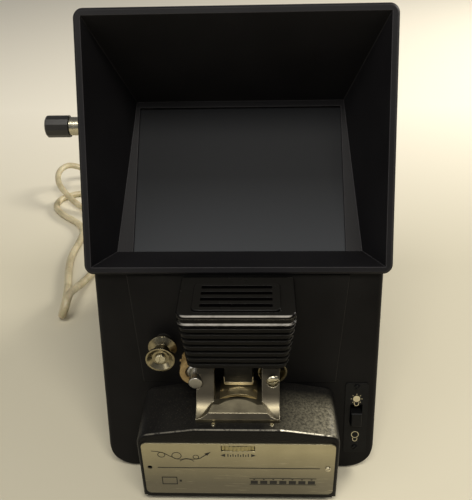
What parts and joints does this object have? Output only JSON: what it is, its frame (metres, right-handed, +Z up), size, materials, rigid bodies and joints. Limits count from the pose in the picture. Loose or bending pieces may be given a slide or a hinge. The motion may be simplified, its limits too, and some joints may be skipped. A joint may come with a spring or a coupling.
{
  "type": "cine film viewer",
  "caption": "Table-top viewer for narrow cine film: lit gate with sprocket and rollers in front, ground screen in a flared hood above, lamp house, focus wheel, framing knob, switch and cord.",
  "frame": {"origin": "on the table, in the middle of the body's width, a little forward of the rear wall's middle", "axes": "+X to the user's right, +Y from the user to the back, +Z up from the table"},
  "size_m": [0.2853, 0.4083, 0.2465],
  "materials": {
    "housing_black": "moulded black phenolic, soft gloss",
    "hood_black": "moulded black plastic, satin",
    "nose_paint": "black crackle paint",
    "satin_aluminium": "satin",
    "plain_aluminium": "machined",
    "nickel_casting": "satin nickel plate",
    "steel": "ground",
    "bright_screws": "nickel plated",
    "polished_steel": "polished",
    "block_black": "black phenolic, satin",
    "gloss_black": "polished black phenolic",
    "roller_nickel": "nickel plated, dull",
    "tan_nylon": "nylon, tan",
    "brass": "machined",
    "optical_glass": "polished",
    "ground_screen": "ground, grey",
    "mirror_glass": "front silvered",
    "switch_plate_black": "black enamel",
    "core_steel": "stacked sheet",
    "coil_tape": "varnished tape",
    "foot_rubber": "matte",
    "cord_cream": "soft vinyl, cream",
    "plug_cream": "moulded vinyl, cream"
  },
  "bodies": {
    "viewer": {"back_cover": "hood_black", "base_mirror": "mirror_glass", "base_mirror_bracket": "steel", "base_plate": "nose_paint", "case_screws": "bright_screws", "condenser": "optical_glass", "cord_coil": "cord_cream", "cord_gland": "foot_rubber", "cord_tube": "cord_cream", "feet": "foot_rubber", "framing_bush": "plain_aluminium", "front_plate": "satin_aluminium", "front_plate_screw": "bright_screws", "gate_casting": "nickel_casting", "gate_screws": "bright_screws", "gate_shoe": "steel", "gear_bracket": "plain_aluminium", "hood": "hood_black", "housing": "housing_black", "inner_screws": "bright_screws", "lamp": "optical_glass", "lamp_chassis": "steel", "lamp_socket": "block_black", "left_roller_pin": "steel", "lens_mount": "plain_aluminium", "mirror_stand": "plain_aluminium", "nose": "nose_paint", "plug": "plug_cream", "plug_pins": "brass", "right_roller_pin": "steel", "screen": "ground_screen", "screen_frame": "steel", "screen_frame_screws": "bright_screws", "sprocket_bush": "brass", "switch_body": "block_black", "switch_plate": "switch_plate_black", "switch_screws": "bright_screws", "transformer_coil": "coil_tape", "transformer_core": "core_steel"},
    "lamp_cover": {"lamp_cover": "gloss_black"},
    "pressure_shoe_group": {"pressure_block": "block_black", "pressure_shoe": "polished_steel"},
    "left_film_roller": {"left_roller": "roller_nickel"},
    "right_film_roller": {"right_roller": "roller_nickel"},
    "film_sprocket": {"sprocket": "tan_nylon", "sprocket_hub": "plain_aluminium", "sprocket_shaft": "steel", "sprocket_gear": "brass"},
    "turning_prism": {"prism": "optical_glass", "prism_shaft": "steel", "prism_pinion": "tan_nylon"},
    "focusing_wheel": {"focus_wheel": "plain_aluminium"},
    "lens": {"lens_barrel": "plain_aluminium", "lens_glass": "optical_glass"},
    "lamp_switch_knob": {"switch_knob": "gloss_black"},
    "framing": {"framing_shaft": "steel", "framing_knob": "gloss_black"},
    "picture_mirror": {"rear_mirror": "mirror_glass", "mirror_cradle": "plain_aluminium", "framing_arm": "plain_aluminium"}
  },
  "joints": [
    {"name": "lamp_cover_slide", "type": "slide", "parent": "viewer", "child": "lamp_cover", "axis": [0, -1, 0], "range_m": [0, 0.028]},
    {"name": "pressure_lift", "type": "slide", "parent": "viewer", "child": "pressure_shoe_group", "axis": [0, 0, 1], "range_m": [0, 0.003], "stiffness_N_per_m": 80, "springref_m": -0.004},
    {"name": "left_roller_spin", "type": "hinge", "parent": "viewer", "child": "left_film_roller", "pos_m": [-0.0415, -0.0877, 0.0815], "axis": [0, 1, 0], "continuous": true},
    {"name": "right_roller_spin", "type": "hinge", "parent": "viewer", "child": "right_film_roller", "pos_m": [0.0185, -0.0877, 0.073], "axis": [0, 1, 0], "continuous": true},
    {"name": "sprocket_spin", "type": "hinge", "parent": "viewer", "child": "film_sprocket", "pos_m": [-0.0225, -0.0877, 0.0723], "axis": [0, 1, 0], "continuous": true},
    {"name": "prism_spin", "type": "hinge", "parent": "viewer", "child": "turning_prism", "pos_m": [0, -0.0877, 0.05481], "axis": [0, 1, 0], "continuous": true},
    {"name": "focus_turn", "type": "hinge", "parent": "viewer", "child": "focusing_wheel", "pos_m": [0, -0.0877, 0.0438], "axis": [0, 0, 1], "range_deg": [-90, 90]},
    {"name": "lens_move", "type": "slide", "parent": "viewer", "child": "lens", "axis": [0, 0, 1], "range_m": [-0.00081, 0.00081]},
    {"name": "switch_slide", "type": "slide", "parent": "viewer", "child": "lamp_switch_knob", "axis": [0, 0.2267, 0.974], "range_m": [0, 0.004]},
    {"name": "framing_turn", "type": "hinge", "parent": "viewer", "child": "framing", "pos_m": [-0.08, -0.004, 0.1789], "axis": [1, 0, 0], "range_deg": [-60, 60]},
    {"name": "mirror_tilt", "type": "hinge", "parent": "viewer", "child": "picture_mirror", "pos_m": [0, 0.07114, 0.06696], "axis": [1, 0, 0], "range_deg": [-2, 2]}
  ],
  "couplings": [
    {"joint": "prism_spin", "follows": "sprocket_spin", "ratio": -3.75},
    {"joint": "lens_move", "follows": "focus_turn", "m_per_rad": 0.0005093},
    {"joint": "mirror_tilt", "follows": "framing_turn", "ratio": -0.0325}
  ]
}
